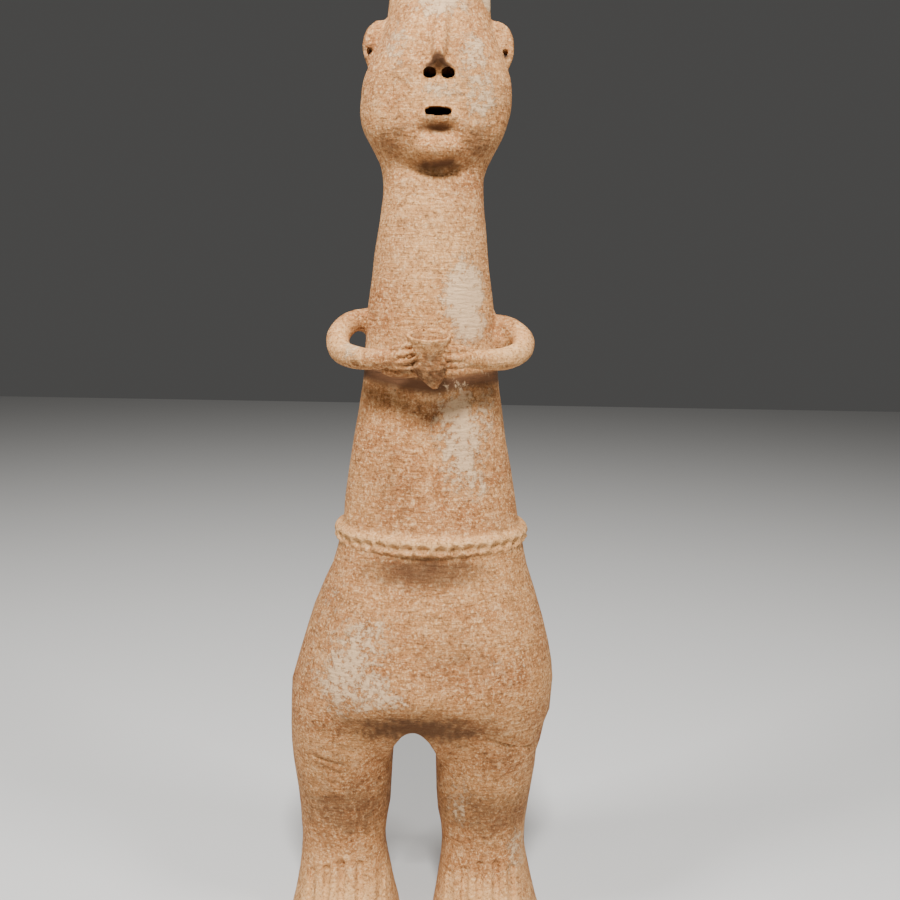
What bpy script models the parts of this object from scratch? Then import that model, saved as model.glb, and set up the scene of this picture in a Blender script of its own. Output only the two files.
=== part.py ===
"""A standing figure of fired clay: long neck, arms bent round a small cup, pinched waist band, bare feet.

Metres, +Z up. The figure faces -Y, and its origin is on the floor under the middle of its box.
Run with blender --background --python part.py, or from the text editor.
"""

import math

import bmesh
import bpy
import numpy as np
from mathutils import Matrix, Vector

# Overall height, from the soles to the crown
FIGURE_HEIGHT = 0.800

# The free form is drawn in 800ths of the height, and at this height each is one millimetre.
# A place is written (aside, ahead, up): to the viewer's right, towards the viewer, and upwards.
PART = FIGURE_HEIGHT / 800

# The small cup between the hands
CUP_RIM_RADIUS = 0.0173
CUP_FOOT_RADIUS = 0.0135
CUP_WALL = 0.0027
CUP_DEPTH = 0.021
CUP_FLOOR = 0.005
CUP_LEAN = math.radians(14)

# Round arms, thinner at the wrist, and the fingers laid on the cup
ARM_DIAMETER = 0.0195
WRIST_DIAMETER = 0.0165
FINGER_DIAMETER = 0.0068
FINGER_PRESS = 0.0016
FINGERS_PER_HAND = 3
FIRST_FINGER_BELOW_RIM = 0.0105

# The band round the waist, pressed with a fingertip all the way round
BAND_HEIGHT = 0.0165
BAND_REACH = 0.0064
BAND_DIP = 0.0025
DIMPLE_PITCH = 0.0117
DIMPLE_WIDTH = 0.0088
DIMPLE_HEIGHT = 0.0070
DIMPLE_DEPTH = 0.0028

# Holes poked in the wet clay
NOSTRIL_WIDTH = 0.0090
NOSTRIL_HEIGHT = 0.0076
NOSTRIL_SPACING = 0.0140
NOSTRIL_DEPTH = 0.024
NOSTRIL_RISE = math.radians(12)
MOUTH_WIDTH = 0.0194
MOUTH_HEIGHT = 0.0062
MOUTH_DEPTH = 0.026
EAR_HOLE_DIAMETER = 0.0034
CROWN_HOLE_DIAMETER = 0.0032
CROWN_HOLE_DEPTH = 0.014

# Flat ear lobes
EAR_THICKNESS = 0.0100

# Grooves between the toes
TOE_GROOVE_WIDTH = 0.0058
TOE_GROOVE_DEPTH = 0.0042

# How finely the clay is worked, and how many triangles the finished skin keeps
BODY_GRAIN = 3.0 * PART
DETAIL_GRAIN = 1.9 * PART
SKIN_TRIANGLES = 8600

# Level sections of the trunk from the hips to inside the head: (up, half width, half depth, aside, ahead)
TRUNK = [
    (150, 80, 22, -7, -2),
    (160, 96, 39, -6.5, -2),
    (172, 105.5, 52, -6, -2),
    (185, 110.5, 63, -5, -2),
    (198, 112.8, 70, -4.2, -2),
    (215, 112.8, 74, -3.5, -2),
    (230, 109.5, 73, -1.5, -1),
    (248, 106, 70, -0.8, -1),
    (284, 96, 64, 0.3, 0),
    (319, 83.3, 57, 1.5, 0),
    (337, 78.2, 54.5, 2.4, 0),
    (355, 74.8, 53, 2.4, 0),
    (372, 72.3, 51, 1.8, 0),
    (406, 67.4, 48, 0.6, 0),
    (439, 61.5, 45, 0, 0),
    (474, 56.5, 42, 0, 0),
    (520, 53, 40.5, 0, 0),
    (569, 47.6, 38, -0.3, 0),
    (601, 43.6, 36, -0.3, 0),
    (620, 41, 34.5, 0, 0),
    (633, 40.8, 34, 0, 0),
    (644, 44, 35, 0, 0),
    (653, 49, 37, 0, 0),
    (663, 54, 39, 0, 0),
    (677, 55, 41, 0.5, 0),
    (692, 50, 38, 1.5, 0),
]

# Level sections of the face and the head behind it, from the chin to the crown
HEAD = [
    (637, 16, 9, 2.5, 28),
    (643, 29, 21, 2, 21),
    (650, 42, 32, 1, 13),
    (662, 53.5, 41, 0.3, 8),
    (677, 58.8, 45, 0.7, 5),
    (692, 60, 46.5, 1.8, 4),
    (707, 58.3, 47, 2.3, 4),
    (722, 52, 46, 2.7, 3),
    (737, 45.5, 44, 3, 2),
    (752, 41, 41, 3, 1),
    (766, 40.5, 38.5, 3.5, 0),
    (780, 37.5, 36, 3, 0),
    (790, 31, 30, 3, 0),
    (797, 20, 20, 3, 0),
    (800, 8, 8, 3, 0),
]

# Level sections of one leg from below the sole to inside the hip, drawn from the leg's own axis:
# (up, half width, half depth, how far the section leans inwards, ahead)
LEG = [
    (-8, 49.3, 58, 0, 20),
    (0, 49.3, 58, 0, 20),
    (10, 48.3, 56, 0, 18),
    (25, 44.5, 49, 0, 12),
    (44, 40.6, 42, 0, 5),
    (64, 37.6, 37.5, 0, 0),
    (83, 37.8, 36, 0, -1),
    (102, 39.5, 37, 0, -2),
    (121, 41.2, 40, -0.5, -2),
    (140, 43.8, 43, -1.3, -2),
    (163, 45.5, 49, -1, -2),
    (206, 46, 58, 0, -2),
]

# Each leg's axis is this far from the middle between them, which is a little off the neck's axis
LEG_SPREAD = 61.5
LEGS_ASIDE = -9.5

# How square the sections are: 2 is an ellipse
TRUNK_SQUARENESS = 2.25
LIMB_SQUARENESS = 2.1

# Near the floor both feet stand a little further to the viewer's right
FEET_DRIFT = 4.2
FEET_DRIFT_TOP = 70

# The heavy hips, the viewer's right one hanging lower: (centre, half sizes)
HIPS = [
    ((-72, -2, 180), (44, 52, 29)),
    ((60, -2, 171), (43, 50.5, 27)),
]

# The arch between the legs: half its width, how tall and how square its head is, and its top
CROTCH_HALF_WIDTH = 18
CROTCH_HEAD = 30
CROTCH_SQUARENESS = 1.6
CROTCH_TOP = 196

# The face is set a little to the viewer's right of the neck's axis
FACE_ASIDE = 4
NOSE_RIDGE = ((41, 752), (46, 738), (50.5, 724), (54, 709.5))
NOSE_THICKNESS = (2, 4, 5.5, 7.5)
NOSTRIL_UP = 702.5
MOUTH_UP = 676
LIPS = ((46, 672.5), (16, 7, 8))
CHIN = ((34.5, 654), (27, 13, 14))

# Hollows pressed into the face: (to the side of the nose, up), half sizes, depth
FACE_HOLLOWS = [
    ((-17, 712), (10, 13), 2.0),
    ((17, 712), (10, 13), 2.0),
    ((0, 663), (15, 4), 2.0),
]

# The ears, one a little higher and wider than the other, the viewer's left first: (centre, half sizes)
EARS = [
    ((-42, 5, 730.5), (15, 21.5)),
    ((46.5, 5, 731), (16, 21.5)),
]
EAR_HOLES = ((-50.3, 726), (54.3, 726))

# The hole poked in the side of the crown, and the way it runs in
CROWN_HOLE_PLACE = (-32.5, 18, 766)
CROWN_HOLE_WAY = (0.8, 0.5, -0.2)

# The arms run in loops; each loop's top and underside, the viewer's left arm first
ARM_HEIGHTS = ((520.5, 494), (517.5, 495))

# Clay left in the armpit on the viewer's right, and under the hand on the left: (centre, half sizes)
ARMPIT_CLAY = ((56, 3, 508), (9, 12, 16))
HAND_CLAY = ((-21, 57, 483), (17, 9, 5.5))

# The middle of the cup's rim, the tip of the rough spur under it, and the middle of the waist band
CUP_PLACE = (0, 72, 514)
SPUR_TIP = (3, 70, 473)
BAND_UP = 348.5

# Toe grooves, by their distance from the leg's axis towards the other leg, and where they start
TOE_GROOVES = (17.5, 3, -9.5, -21.5)
TOE_GROOVE_TOP = 66

CLAY_COLOUR = (0.50, 0.29, 0.17, 1.0)


def place(aside, ahead, up):
    """A place of the free form, in metres."""
    return Vector((aside * PART, -ahead * PART, up * PART))


def through(keys, values, at):
    """A smooth curve through the values at their keys, read at the given keys."""
    keys = np.asarray(keys, dtype=float)
    values = np.asarray(values, dtype=float)
    at = np.clip(at, keys[0], keys[-1])
    slope = np.gradient(values, keys)
    i = np.clip(np.searchsorted(keys, at) - 1, 0, len(keys) - 2)
    gap = keys[i + 1] - keys[i]
    t = (at - keys[i]) / gap
    start = (1 + 2 * t) * (1 - t) ** 2 * values[i] + t * (1 - t) ** 2 * gap * slope[i]
    end = t * t * (3 - 2 * t) * values[i + 1] + t * t * (t - 1) * gap * slope[i + 1]
    return start + end


def section_at(sections, up):
    """Half width, half depth, aside and ahead of a lofted form at one or more heights."""
    columns = np.array(sections, dtype=float).T
    return [through(columns[0], column, up) for column in columns[1:]]


def new_object(name, mesh):
    """An object that shows a mesh."""
    thing = bpy.data.objects.new(name, mesh)
    bpy.context.collection.objects.link(thing)
    return thing


def skin_of_rings(name, rings):
    """A closed skin over rings of points, with a flat face on each end."""
    form = bmesh.new()
    loops = [[form.verts.new(point) for point in ring] for ring in rings]
    count = len(loops[0])
    for low, high in zip(loops, loops[1:]):
        for i in range(count):
            form.faces.new((low[i], low[(i + 1) % count], high[(i + 1) % count], high[i]))
    form.faces.new(reversed(loops[0]))
    form.faces.new(loops[-1])
    bmesh.ops.recalc_face_normals(form, faces=form.faces)
    mesh = bpy.data.meshes.new(name)
    form.to_mesh(mesh)
    form.free()
    return new_object(name, mesh)


def oval(turn, half_width, half_depth, squareness):
    """A point of an oval, from a plain ellipse to a squarer one."""
    across = math.copysign(abs(math.cos(turn)) ** (2 / squareness), math.cos(turn))
    along = math.copysign(abs(math.sin(turn)) ** (2 / squareness), math.sin(turn))
    return half_width * across, half_depth * along


def loft(name, sections, squareness, step=4, around=64):
    """A closed skin through level oval sections."""
    lowest = sections[0][0]
    highest = sections[-1][0]
    rings = []
    for up in np.linspace(lowest, highest, int((highest - lowest) / step) + 1):
        half_width, half_depth, aside, ahead = section_at(sections, up)
        ring = []
        for turn in np.linspace(0, 2 * math.pi, around, endpoint=False):
            across, along = oval(turn, half_width, half_depth, squareness)
            ring.append(place(aside + across, ahead - along, up))
        rings.append(ring)
    return skin_of_rings(name, rings)


def tube(name, points, radii, sides=16, steps=6):
    """A round tube through points in metres, with its radius following the given ones."""
    keys = np.arange(len(points))
    at = np.linspace(0, len(points) - 1, steps * (len(points) - 1) + 1)
    line = np.array([through(keys, column, at) for column in np.array(points, dtype=float).T]).T
    thickness = through(keys, radii, at).tolist()
    ahead_of = np.gradient(line, axis=0)
    rings = []
    side = Vector((0, 0, 1)).cross(Vector(ahead_of[0]))
    if side.length < 1e-9:
        side = Vector((1, 0, 0))
    for centre, direction, radius in zip(line, ahead_of, thickness):
        along = Vector(direction).normalized()
        side = (side - along * side.dot(along)).normalized()
        other = along.cross(side)
        turns = np.linspace(0, 2 * math.pi, sides, endpoint=False)
        ring = [Vector(centre) + (side * math.cos(t) + other * math.sin(t)) * radius for t in turns]
        rings.append(ring)
    return skin_of_rings(name, rings)


def lump(name, centre, half_sizes):
    """An egg of clay, from its centre and half sizes in metres."""
    form = bmesh.new()
    bmesh.ops.create_icosphere(form, subdivisions=3, radius=1)
    bmesh.ops.scale(form, vec=Vector(half_sizes), verts=form.verts)
    bmesh.ops.translate(form, vec=centre, verts=form.verts)
    mesh = bpy.data.meshes.new(name)
    form.to_mesh(mesh)
    form.free()
    return new_object(name, mesh)


def free_lump(name, centre, half_sizes):
    """An egg of clay in the free form's own units."""
    return lump(name, place(*centre), [size * PART for size in half_sizes])


def turned(name, profile, sides=32):
    """A turned solid about its own Z axis, from (radius, height) points listed upwards."""
    turns = np.linspace(0, 2 * math.pi, sides, endpoint=False)
    rings = [[Vector((r * math.cos(t), r * math.sin(t), z)) for t in turns] for r, z in profile]
    return skin_of_rings(name, rings)


def settle(thing):
    """Turns an object's modifiers and its placing into its mesh."""
    bpy.context.view_layer.update()
    shown = thing.evaluated_get(bpy.context.evaluated_depsgraph_get())
    mesh = bpy.data.meshes.new_from_object(shown)
    mesh.transform(thing.matrix_world)
    thing.modifiers.clear()
    thing.matrix_world = Matrix.Identity(4)
    thing.data = mesh


def work_together(name, pieces, grain, rounds):
    """One skin round overlapping pieces, with the joins between them smoothed over."""
    form = bmesh.new()
    for piece in pieces:
        form.from_mesh(piece.data)
        bpy.data.objects.remove(piece)
    mesh = bpy.data.meshes.new(name)
    form.to_mesh(mesh)
    form.free()
    whole = new_object(name, mesh)
    remesh = whole.modifiers.new("One skin", "REMESH")
    remesh.mode = "VOXEL"
    remesh.voxel_size = grain
    smooth = whole.modifiers.new("Smoothed joins", "SMOOTH")
    smooth.factor = 0.5
    smooth.iterations = rounds
    settle(whole)
    return whole


def combine(thing, other, operation):
    """Joins another shape to an object, or takes its shape out."""
    other.hide_render = True
    other.display_type = "WIRE"
    change = thing.modifiers.new("Change", "BOOLEAN")
    change.operation = operation
    change.solver = "EXACT"
    change.object = other
    settle(thing)
    bpy.data.objects.remove(other)


def cup_frame():
    """Where the cup stands: its origin is the middle of the rim, and it leans towards the viewer."""
    return Matrix.Translation(place(*CUP_PLACE)) @ Matrix.Rotation(CUP_LEAN, 4, "X")


def leg_sections(side):
    """The level sections of the leg on one side."""
    sections = []
    for up, half_width, half_depth, inwards, ahead in LEG:
        drift = FEET_DRIFT * max(0, 1 - up / FEET_DRIFT_TOP)
        aside = LEGS_ASIDE + side * (LEG_SPREAD - inwards) + drift
        sections.append((up, half_width, half_depth, aside, ahead))
    return sections


def crotch_arch():
    """The opening between the legs, a tall arch run through from front to back."""
    outline = [(-CROTCH_HALF_WIDTH, 100), (CROTCH_HALF_WIDTH, 100)]
    for turn in np.linspace(0, math.pi, 13):
        across, rise = oval(turn, CROTCH_HALF_WIDTH, CROTCH_HEAD, CROTCH_SQUARENESS)
        outline.append((across, CROTCH_TOP - CROTCH_HEAD + rise))
    rings = []
    for ahead in (-120, 120):
        rings.append([place(LEGS_ASIDE + across, ahead, up) for across, up in outline])
    return skin_of_rings("Arch", rings)


def body():
    """Trunk, head, hips and legs, worked into one form."""
    pieces = [loft("Trunk", TRUNK, TRUNK_SQUARENESS)]
    for centre, half_sizes in HIPS:
        pieces.append(free_lump("Hip", centre, half_sizes))
    hips = work_together("Hips", pieces, BODY_GRAIN, 4)
    combine(hips, crotch_arch(), "DIFFERENCE")
    pieces = [hips, loft("Head", HEAD, LIMB_SQUARENESS, step=3)]
    for side in (-1, 1):
        pieces.append(loft("Leg", leg_sections(side), LIMB_SQUARENESS))
    return work_together("Body", pieces, BODY_GRAIN, 14)


def arm(side, top, underside):
    """One arm from the shoulder, out round the elbow and in to the cup."""
    route = [
        place(side * 40, 0, top - 3),
        place(side * 58, 3, top + 1),
        place(side * 69, 8, top - 4),
        place(side * 74, 17, (top + underside) / 2),
        place(side * 70, 31, underside + 4),
        place(side * 57, 47, underside),
        place(side * 40, 60, underside),
        hand_place(side),
    ]
    full = ARM_DIAMETER / 2
    wrist = WRIST_DIAMETER / 2
    radii = [full * 1.3, full, full, full, full, full, wrist, wrist * 0.8]
    return tube("Arm", route, radii)


def hand_place(side):
    """Where the arm ends against the side of the cup."""
    middle = place(*CUP_PLACE)
    middle.x += side * (CUP_RIM_RADIUS + FINGER_DIAMETER / 2)
    middle.z -= FIRST_FINGER_BELOW_RIM + FINGER_DIAMETER
    return middle


def fingers(side):
    """Fingers that fan out from the wrist and lie round the side of the cup."""
    frame = cup_frame()
    thick = FINGER_DIAMETER / 2
    made = []
    for row in range(FINGERS_PER_HAND):
        from_middle = (row - (FINGERS_PER_HAND - 1) / 2) * FINGER_DIAMETER
        below_rim = FIRST_FINGER_BELOW_RIM + row * FINGER_DIAMETER * 0.94
        reach = cup_radius(below_rim) + thick - FINGER_PRESS
        knuckle = hand_place(side) + Vector((side * 0.014, 0.006, -0.6 * from_middle))
        route = [knuckle]
        for degrees in (-4, 14, 31):
            turn = math.radians(degrees)
            point = Vector((side * reach * math.cos(turn), -reach * math.sin(turn), -below_rim))
            route.append(frame @ point)
        made.append(tube("Finger", route, [thick * 0.9, thick * 1.1, thick, thick * 0.85], sides=12))
    return made


def cup_radius(below_rim):
    """Outer radius of the cup at a depth below its rim."""
    return CUP_RIM_RADIUS - (CUP_RIM_RADIUS - CUP_FOOT_RADIUS) * below_rim / (CUP_DEPTH + CUP_FLOOR)


def cup_core():
    """The rough clay under and inside the cup, where it grows out of the hands, and the spur below."""
    foot = CUP_DEPTH + CUP_FLOOR
    core = turned("Cup core", [(cup_radius(foot) * 0.95, -foot), (cup_radius(foot / 2) * 0.9, -foot / 2)])
    core.matrix_world = cup_frame()
    settle(core)
    top = cup_frame() @ Vector((0, 0.002, -0.8 * CUP_DEPTH))
    middle = place(*SPUR_TIP).lerp(top, 0.42)
    radii = [CUP_FOOT_RADIUS, 0.8 * CUP_FOOT_RADIUS, 0.2 * CUP_FOOT_RADIUS]
    spur = tube("Spur", [top, middle, place(*SPUR_TIP)], radii, sides=12)
    return [core, spur, free_lump("Hand clay", *HAND_CLAY)]


def cup_wall():
    """The outside of the cup, a plain cone up to the rim."""
    foot = CUP_DEPTH + CUP_FLOOR
    wall = turned("Cup wall", [(cup_radius(foot), -foot), (CUP_RIM_RADIUS, 0)], sides=36)
    wall.matrix_world = cup_frame()
    settle(wall)
    return wall


def band():
    """A strip of clay laid round the waist, thickest below its middle."""
    half_width, half_depth, aside, ahead = section_at(TRUNK, BAND_UP)
    rings = []
    around = 144
    for turn in np.linspace(0, 2 * math.pi, around, endpoint=False):
        foot = place(aside + half_width * math.cos(turn), ahead - half_depth * math.sin(turn), BAND_UP)
        foot.z += BAND_DIP * math.sin(turn)
        out = Vector((half_depth * math.cos(turn), half_width * math.sin(turn), 0)).normalized()
        ring = []
        for angle in np.linspace(0, 2 * math.pi, 12, endpoint=False):
            lift = BAND_HEIGHT / 2 * math.sin(angle)
            reach = BAND_REACH * math.cos(angle) * (1 - 0.25 * math.sin(angle))
            ring.append(foot + out * reach + Vector((0, 0, lift)))
        rings.append(ring)
    form = bmesh.new()
    loops = [[form.verts.new(point) for point in ring] for ring in rings]
    for i in range(around):
        near = loops[i]
        far = loops[(i + 1) % around]
        for j in range(12):
            form.faces.new((near[j], far[j], far[(j + 1) % 12], near[(j + 1) % 12]))
    bmesh.ops.recalc_face_normals(form, faces=form.faces)
    mesh = bpy.data.meshes.new("Band")
    form.to_mesh(mesh)
    form.free()
    return new_object("Band", mesh)


def face_pieces():
    """Nose, lips, chin and the two flat ears."""
    ridge = [place(FACE_ASIDE, ahead, up) for ahead, up in NOSE_RIDGE]
    pieces = [tube("Nose", ridge, [size * PART for size in NOSE_THICKNESS])]
    for name, ((ahead, up), half_sizes) in (("Lips", LIPS), ("Chin", CHIN)):
        pieces.append(free_lump(name, (FACE_ASIDE, ahead, up), half_sizes))
    for centre, (half_width, half_height) in EARS:
        half_sizes = (half_width * PART, EAR_THICKNESS / 2, half_height * PART)
        pieces.append(lump("Ear", place(*centre), half_sizes))
    return pieces


def points_of(thing):
    """An object's points as an array."""
    flat = np.empty(len(thing.data.vertices) * 3, dtype=np.float32)
    thing.data.vertices.foreach_get("co", flat)
    return flat.reshape(-1, 3).astype(float)


def bell(distance):
    """A soft bump: one at nothing, and close to nothing at two."""
    return np.exp(-distance ** 2)


def press_dimples(points):
    """Fingertip dimples pressed at an even pitch into the waist band."""
    half_width, half_depth, aside, ahead = [value * PART for value in section_at(TRUNK, BAND_UP)]
    half_width = half_width + BAND_REACH
    half_depth = half_depth + BAND_REACH
    turns = np.linspace(-math.pi, math.pi, 1441)
    edge = np.stack([half_width * np.cos(turns), half_depth * np.sin(turns)], axis=1)
    run = np.concatenate([[0], np.cumsum(np.linalg.norm(np.diff(edge, axis=0), axis=1))])
    count = round(run[-1] / DIMPLE_PITCH)
    x = points[:, 0] - aside
    y = points[:, 1] + ahead
    turn = np.arctan2(y / half_depth, x / half_width)
    phase = np.interp(turn, turns, run) / run[-1] * count
    off_centre = (phase - np.round(phase)) * run[-1] / count
    off_level = points[:, 2] - (BAND_UP * PART + BAND_DIP * np.sin(turn) - 0.13 * BAND_HEIGHT)
    press = DIMPLE_DEPTH * bell(off_centre / (DIMPLE_WIDTH / 2)) * bell(off_level / (DIMPLE_HEIGHT / 2))
    spread = np.hypot(x / half_width, y / half_depth)
    press = press * np.clip((spread - 0.94) / 0.03, 0, 1)
    points[:, 0] -= press * np.cos(turn)
    points[:, 1] -= press * np.sin(turn)


def press_toe_grooves(points):
    """Grooves that part the toes, running down the instep and over its front."""
    for side in (-1, 1):
        axis = LEGS_ASIDE + side * LEG_SPREAD + FEET_DRIFT / 2
        for offset in TOE_GROOVES:
            across = points[:, 0] / PART - (axis - side * offset)
            up = points[:, 2] / PART
            ahead = -points[:, 1] / PART
            wide = TOE_GROOVE_WIDTH / 2 / PART
            begin = np.clip((TOE_GROOVE_TOP - up) / 10, 0, 1)
            depth = TOE_GROOVE_DEPTH * bell(across / wide) * begin * (ahead > 12)
            points[:, 1] += depth * 0.8
            points[:, 2] -= depth * 0.45


def press_face(points):
    """Hollows beside the nose and under the lips."""
    front = points[:, 1] < 0
    for (aside, up), (half_width, half_height), depth in FACE_HOLLOWS:
        across = (points[:, 0] / PART - FACE_ASIDE - aside) / half_width
        level = (points[:, 2] / PART - up) / half_height
        points[:, 1] += depth * PART * bell(np.hypot(across, level)) * front


def thin_out(thing, triangles):
    """Leaves about as many triangles as asked for, most where the form bends."""
    now = sum(len(face.vertices) - 2 for face in thing.data.polygons)
    thinner = thing.modifiers.new("Thinned", "DECIMATE")
    thinner.ratio = min(1, triangles / now)
    thinner.use_collapse_triangulate = True
    settle(thing)


def cup_bore():
    """The empty inside of the cup, as a cutter that ends above the rim."""
    spare = 0.012
    rim = CUP_RIM_RADIUS - CUP_WALL
    low = cup_radius(CUP_DEPTH) - CUP_WALL
    profile = [(low * 0.7, -CUP_DEPTH), (low, -CUP_DEPTH * 0.86), (rim, 0), (rim + 0.2 * spare, spare)]
    bore = turned("Cup bore", profile, sides=28)
    bore.matrix_world = cup_frame()
    return bore


def rod(name, mouth, inwards, width, height, depth, sides=16):
    """A cutter that starts well outside its mouth and ends at its depth."""
    outside = 0.02
    drill = turned(name, [(0.5, -depth), (0.5, outside)], sides=sides)
    aim = (-inwards).to_track_quat("Z", "Y").to_matrix().to_4x4()
    drill.matrix_world = Matrix.Translation(mouth) @ aim @ Matrix.Diagonal((width, height, 1, 1))
    return drill


def mouth_slot():
    """A flat slot with round ends, cut straight back between the lips."""
    half = (MOUTH_WIDTH - MOUTH_HEIGHT) / 2
    ends = []
    for centre, first in ((half, -90), (-half, 90)):
        for degrees in range(0, 181, 30):
            turn = math.radians(first + degrees)
            across = centre + MOUTH_HEIGHT / 2 * math.cos(turn)
            ends.append((across, MOUTH_HEIGHT / 2 * math.sin(turn)))
    lips = place(FACE_ASIDE, NOSE_RIDGE[-1][0], MOUTH_UP)
    rings = []
    for y in (-0.02, MOUTH_DEPTH):
        rings.append([lips + Vector((x, y, z)) for x, z in ends])
    return skin_of_rings("Mouth slot", rings)


def floor_block():
    """What lies below the soles."""
    form = bmesh.new()
    bmesh.ops.create_cube(form, size=1)
    bmesh.ops.scale(form, vec=Vector((0.5, 0.5, 0.05)) * FIGURE_HEIGHT, verts=form.verts)
    bmesh.ops.translate(form, vec=Vector((0, 0, -0.025 * FIGURE_HEIGHT)), verts=form.verts)
    mesh = bpy.data.meshes.new("Below the soles")
    form.to_mesh(mesh)
    form.free()
    return new_object("Below the soles", mesh)


def holes():
    """Cutters for the soles, the cup's bore, nostrils, mouth, ear holes and the hole in the crown."""
    cutters = [floor_block(), cup_bore(), mouth_slot()]
    into_nose = Vector((0, math.cos(NOSTRIL_RISE), math.sin(NOSTRIL_RISE)))
    nose_tip = place(FACE_ASIDE, NOSE_RIDGE[-1][0], NOSTRIL_UP)
    size = (NOSTRIL_WIDTH, NOSTRIL_HEIGHT, NOSTRIL_DEPTH)
    for side in (-1, 1):
        nostril = nose_tip + Vector((side * NOSTRIL_SPACING / 2, 0, 0))
        cutters.append(rod("Nostril", nostril, into_nose, *size, sides=20))
    size = (EAR_HOLE_DIAMETER, EAR_HOLE_DIAMETER, 2 * EAR_THICKNESS)
    for (aside, up), (centre, _) in zip(EAR_HOLES, EARS):
        lobe = place(aside, centre[1], up)
        cutters.append(rod("Ear hole", lobe, Vector((0, 1, 0)), *size, sides=10))
    into_crown = Vector(CROWN_HOLE_WAY).normalized()
    size = (CROWN_HOLE_DIAMETER, CROWN_HOLE_DIAMETER, CROWN_HOLE_DEPTH)
    cutters.append(rod("Crown hole", place(*CROWN_HOLE_PLACE), into_crown, *size, sides=10))
    return cutters


def stand_on_origin(thing):
    """Moves the mesh so that its box stands on the origin."""
    points = points_of(thing)
    low = points.min(axis=0)
    high = points.max(axis=0)
    middle = (low + high) / 2
    thing.data.transform(Matrix.Translation((-middle[0], -middle[1], -low[2])))


def clay_material():
    """Matt orange-brown fired clay."""
    clay = bpy.data.materials.new("Fired clay")
    clay.use_nodes = True
    shader = clay.node_tree.nodes["Principled BSDF"]
    shader.inputs["Base Color"].default_value = CLAY_COLOUR
    shader.inputs["Roughness"].default_value = 0.85
    shader.inputs["Metallic"].default_value = 0.0
    return clay


def build_figure():
    """The whole figure as one piece of clay."""
    pieces = [body(), band()]
    for side, (top, underside) in zip((-1, 1), ARM_HEIGHTS):
        pieces.append(arm(side, top, underside))
        pieces.extend(fingers(side))
    pieces.append(free_lump("Armpit", *ARMPIT_CLAY))
    pieces.extend(cup_core())
    pieces.extend(face_pieces())
    figure = work_together("clay_figure", pieces, DETAIL_GRAIN, 3)
    points = points_of(figure)
    press_dimples(points)
    press_toe_grooves(points)
    press_face(points)
    figure.data.vertices.foreach_set("co", points.ravel())
    thin_out(figure, SKIN_TRIANGLES)
    combine(figure, cup_wall(), "UNION")
    for cutter in holes():
        combine(figure, cutter, "DIFFERENCE")
    stand_on_origin(figure)
    figure.data.materials.clear()
    figure.data.materials.append(clay_material())
    figure.data.shade_smooth()
    return figure


for old in list(bpy.data.objects):
    bpy.data.objects.remove(old)
build_figure()
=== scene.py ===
# %% [markdown]
# # A clay figure that holds a cup
# The real object is one lump of red-brown clay, built up by hand and fired: a tall trunk that runs
# straight into the neck, heavy hips on two short legs, thin arms bent round a small cup, and a
# waist band pressed with a fingertip. Long burial has left it matt, dusty and spotted with lime.
# This lesson shapes it the way a potter does. Simple forms are laid together, worked into one skin,
# pressed and poked while wet, and then given the colours of old clay.

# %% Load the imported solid
import math

import bmesh
import bpy
import numpy as np
from mathutils import Matrix, Vector


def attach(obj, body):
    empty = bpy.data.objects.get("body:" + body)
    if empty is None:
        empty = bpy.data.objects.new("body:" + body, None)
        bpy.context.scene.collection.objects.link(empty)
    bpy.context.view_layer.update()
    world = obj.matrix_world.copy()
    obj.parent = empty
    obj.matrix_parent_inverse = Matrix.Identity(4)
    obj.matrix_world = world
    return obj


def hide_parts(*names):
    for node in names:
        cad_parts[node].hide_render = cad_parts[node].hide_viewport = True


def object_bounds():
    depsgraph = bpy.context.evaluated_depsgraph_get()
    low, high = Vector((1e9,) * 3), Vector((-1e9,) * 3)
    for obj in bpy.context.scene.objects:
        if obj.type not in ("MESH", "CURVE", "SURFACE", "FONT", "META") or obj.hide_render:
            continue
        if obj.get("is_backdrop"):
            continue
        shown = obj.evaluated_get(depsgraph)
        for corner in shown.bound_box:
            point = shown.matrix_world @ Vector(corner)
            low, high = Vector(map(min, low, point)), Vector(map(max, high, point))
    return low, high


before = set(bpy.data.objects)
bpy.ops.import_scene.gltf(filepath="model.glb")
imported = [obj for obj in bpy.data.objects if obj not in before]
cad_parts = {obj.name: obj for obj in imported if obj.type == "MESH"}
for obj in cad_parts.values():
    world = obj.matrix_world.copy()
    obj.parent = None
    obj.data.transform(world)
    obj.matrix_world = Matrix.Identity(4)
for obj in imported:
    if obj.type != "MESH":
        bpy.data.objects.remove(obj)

solid_low, solid_high = (Vector(corner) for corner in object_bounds())
print("The solid is", [round(size * 1000, 1) for size in solid_high - solid_low], "mm")

# %% [markdown]
# ## Units and places
# Every place on the figure is written as (aside, ahead, up) in 800ths of its height: aside is to the
# viewer's right, ahead is towards the viewer. The height comes from the solid, so the model follows it.
# The neck's axis is the middle of this drawing, and the solid's box is centred a little to one side.

# %% A place on the figure
PART = (solid_high.z - solid_low.z) / 800


def place(aside, ahead, up):
    """A place of the drawing, in metres."""
    return Vector((aside * PART, -ahead * PART, up * PART))


print("One part is", round(PART * 1000, 3), "mm")

# %% [markdown]
# ## Curves through a few sizes
# A potter keeps a few widths in mind and lets the wall run smoothly between them. The same can be done
# with a cubic curve through a short table. A subdivision surface would also smooth a rough cage, but
# then the sizes in the table would no longer be the sizes of the form.

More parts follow.
